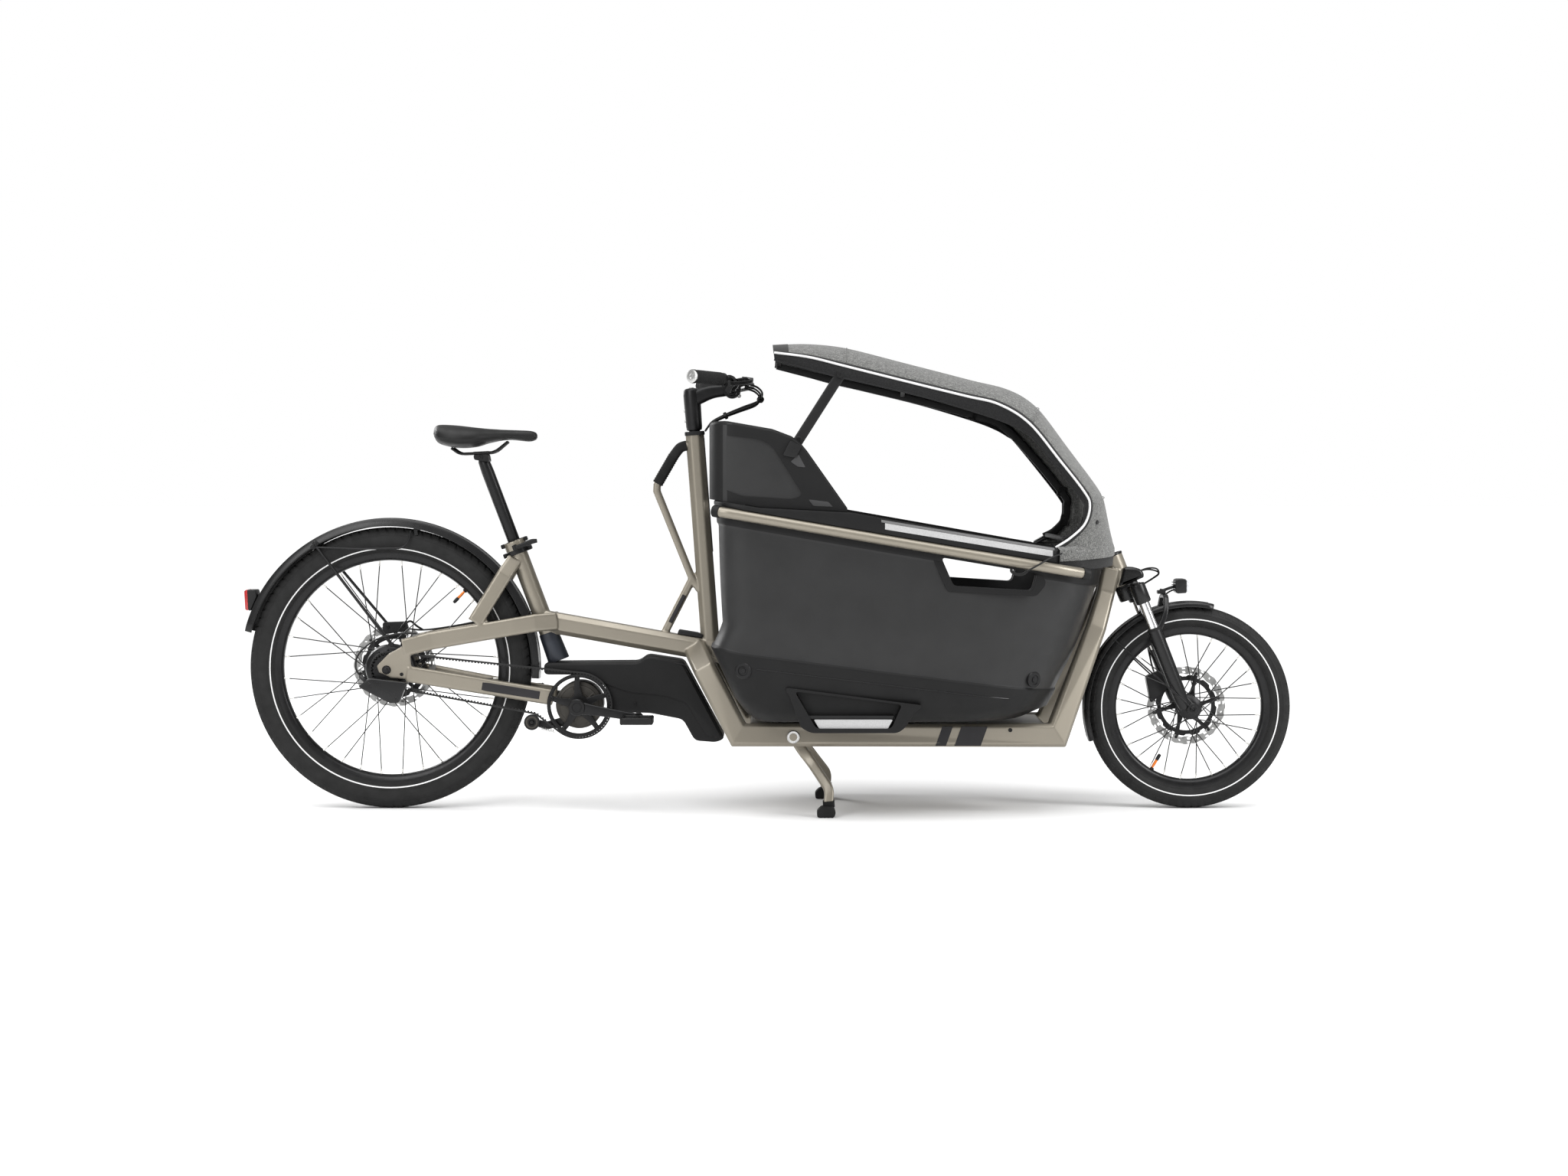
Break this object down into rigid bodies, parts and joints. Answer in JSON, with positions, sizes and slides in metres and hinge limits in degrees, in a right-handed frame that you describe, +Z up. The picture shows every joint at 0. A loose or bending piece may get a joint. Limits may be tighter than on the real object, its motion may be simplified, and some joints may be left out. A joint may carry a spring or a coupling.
{
  "type": "cargo bicycle",
  "caption": "Long front-loading electric cargo bicycle with a low child box, fabric canopy, belt drive, suspension fork and folding centre stand.",
  "frame": {"origin": "on the ground, at the middle of the bicycle's length and width", "axes": "+X towards the front wheel, +Y to the rider's left, +Z up"},
  "size_m": [2.646, 0.662, 1.172],
  "materials": {
    "frame_paint": "champagne satin metallic paint",
    "box_shell": "moulded charcoal foam shell, fine grain",
    "black_plastic": "matte black moulded plastic",
    "black_metal": "satin black coated aluminium",
    "tyre_rubber": "black tyre rubber",
    "grip_rubber": "soft black rubber",
    "steel": "brushed stainless steel",
    "chrome": "polished chrome",
    "canopy_fabric": "woven grey melange fabric",
    "cushion_fabric": "dark woven upholstery",
    "saddle_cover": "black synthetic leather",
    "red_lens": "red translucent lens",
    "lamp": "black lamp housing"
  },
  "bodies": {
    "root": {"seat_tube": "frame_paint", "main_tube": "frame_paint", "rear_stays_right": "frame_paint", "rear_stays_left": "frame_paint", "platform_rail_right": "frame_paint", "platform_rail_left": "frame_paint", "platform_floor": "frame_paint", "steering_column": "frame_paint", "lift_handle": "frame_paint", "lift_handle_grip": "grip_rubber", "head_tube": "frame_paint", "nose_cover": "black_plastic", "side_rail_right": "frame_paint", "side_rail_left": "frame_paint", "motor_unit": "black_metal", "motor_cover": "black_plastic", "belt": "black_plastic", "rear_axle": "steel", "rear_caliper": "black_metal", "hub_actuator": "black_plastic", "rear_fender": "black_plastic", "tail_light": "red_lens", "cargo_box": "box_shell", "backrest_shell": "box_shell", "bench_seat": "black_plastic", "seat_cushion": "cushion_fabric"},
    "canopy": {"canopy_frame": "black_plastic", "canopy_fabric": "canopy_fabric"},
    "stand": {"kickstand": "frame_paint", "kickstand_foot_right": "grip_rubber", "kickstand_foot_left": "grip_rubber"},
    "tensioner": {"tensioner_pulley": "black_metal"},
    "rear_wheel": {"rear_tyre": "tyre_rubber", "rear_rim": "black_metal", "rear_hub": "black_metal", "rear_spokes": "black_metal", "rear_rotor": "steel"},
    "sprocket": {"rear_sprocket": "black_metal"},
    "crank": {"crank_arms": "black_metal", "front_pulley": "black_metal"},
    "right_pedal": {"pedal_right": "black_plastic"},
    "left_pedal": {"pedal_left": "black_plastic"},
    "seat": {"saddle": "saddle_cover", "seatpost": "black_metal"},
    "seat_lever": {"seat_clamp_lever": "black_metal"},
    "steering": {"stem": "black_metal", "handlebar": "black_metal", "grip_right": "grip_rubber", "grip_left": "grip_rubber", "control_cables": "black_plastic"},
    "right_brake": {"brake_lever_right": "black_metal"},
    "left_brake": {"brake_lever_left": "black_metal"},
    "fork": {"fork_upper": "chrome"},
    "fork_legs": {"fork_lower": "black_metal", "front_fender": "black_plastic", "headlight": "lamp"},
    "front_wheel": {"front_tyre": "tyre_rubber", "front_rim": "black_metal", "front_hub": "black_metal", "front_rotor": "steel"}
  },
  "joints": [
    {"name": "rear_wheel_spin", "type": "hinge", "parent": "root", "child": "rear_wheel", "pos_m": [-0.956, 0, 0.356], "axis": [0, 1, 0], "continuous": true},
    {"name": "fork_steer", "type": "hinge", "parent": "root", "child": "fork", "pos_m": [0.91799, 0, 0.52001], "axis": [-0.3665, 0, 0.9304], "range_deg": [-50, 50]},
    {"name": "handlebar_turn", "type": "hinge", "parent": "root", "child": "steering", "pos_m": [-0.149, 0, 0.45], "axis": [-0.0732, 0, 0.9973], "range_deg": [-50, 50]},
    {"name": "fork_travel", "type": "slide", "parent": "fork", "child": "fork_legs", "axis": [-0.3665, 0, 0.9304], "range_m": [0, 0.035], "stiffness_N_per_m": 5000, "springref_m": -0.05},
    {"name": "front_wheel_spin", "type": "hinge", "parent": "fork_legs", "child": "front_wheel", "pos_m": [1.0665, 0, 0.2565], "axis": [0, 1, 0], "continuous": true},
    {"name": "crank_spin", "type": "hinge", "parent": "root", "child": "crank", "pos_m": [-0.476, 0, 0.265], "axis": [0, 1, 0], "continuous": true},
    {"name": "pedal_right_spin", "type": "hinge", "parent": "crank", "child": "right_pedal", "pos_m": [-0.32317, -0.118, 0.23915], "axis": [0, 1, 0], "continuous": true},
    {"name": "pedal_left_spin", "type": "hinge", "parent": "crank", "child": "left_pedal", "pos_m": [-0.62883, 0.118, 0.29085], "axis": [0, 1, 0], "continuous": true},
    {"name": "sprocket_spin", "type": "hinge", "parent": "root", "child": "sprocket", "pos_m": [-0.956, 0, 0.356], "axis": [0, 1, 0], "continuous": true},
    {"name": "tensioner_spin", "type": "hinge", "parent": "root", "child": "tensioner", "pos_m": [-0.594, 0, 0.2225], "axis": [0, 1, 0], "continuous": true},
    {"name": "kickstand_fold", "type": "hinge", "parent": "root", "child": "stand", "pos_m": [0.063, 0, 0.196], "axis": [0, 1, 0], "range_deg": [0, 88]},
    {"name": "seatpost_slide", "type": "slide", "parent": "root", "child": "seat", "axis": [-0.3502, 0, 0.9367], "range_m": [-0.1, 0.06]},
    {"name": "seat_lever_open", "type": "hinge", "parent": "root", "child": "seat_lever", "pos_m": [-0.6378, -0.034, 0.66076], "axis": [0.3502, 0, -0.9367], "range_deg": [0, 110]},
    {"name": "brake_right_pull", "type": "hinge", "parent": "steering", "child": "right_brake", "pos_m": [-0.056, -0.132, 1.08], "axis": [0, 0, -1], "range_deg": [0, 8], "stiffness_Nm_per_rad": 1, "springref_deg": -8.59},
    {"name": "brake_left_pull", "type": "hinge", "parent": "steering", "child": "left_brake", "pos_m": [-0.056, 0.132, 1.08], "axis": [0, 0, 1], "range_deg": [0, 8], "stiffness_Nm_per_rad": 1, "springref_deg": -8.59},
    {"name": "canopy_tilt", "type": "hinge", "parent": "root", "child": "canopy", "pos_m": [0.888, 0, 0.66], "axis": [0, 1, 0], "range_deg": [0, 60]}
  ],
  "couplings": [
    {"joint": "handlebar_turn", "follows": "fork_steer", "ratio": 1},
    {"joint": "sprocket_spin", "follows": "crank_spin", "ratio": 1.9122},
    {"joint": "tensioner_spin", "follows": "crank_spin", "ratio": -3.6316}
  ]
}
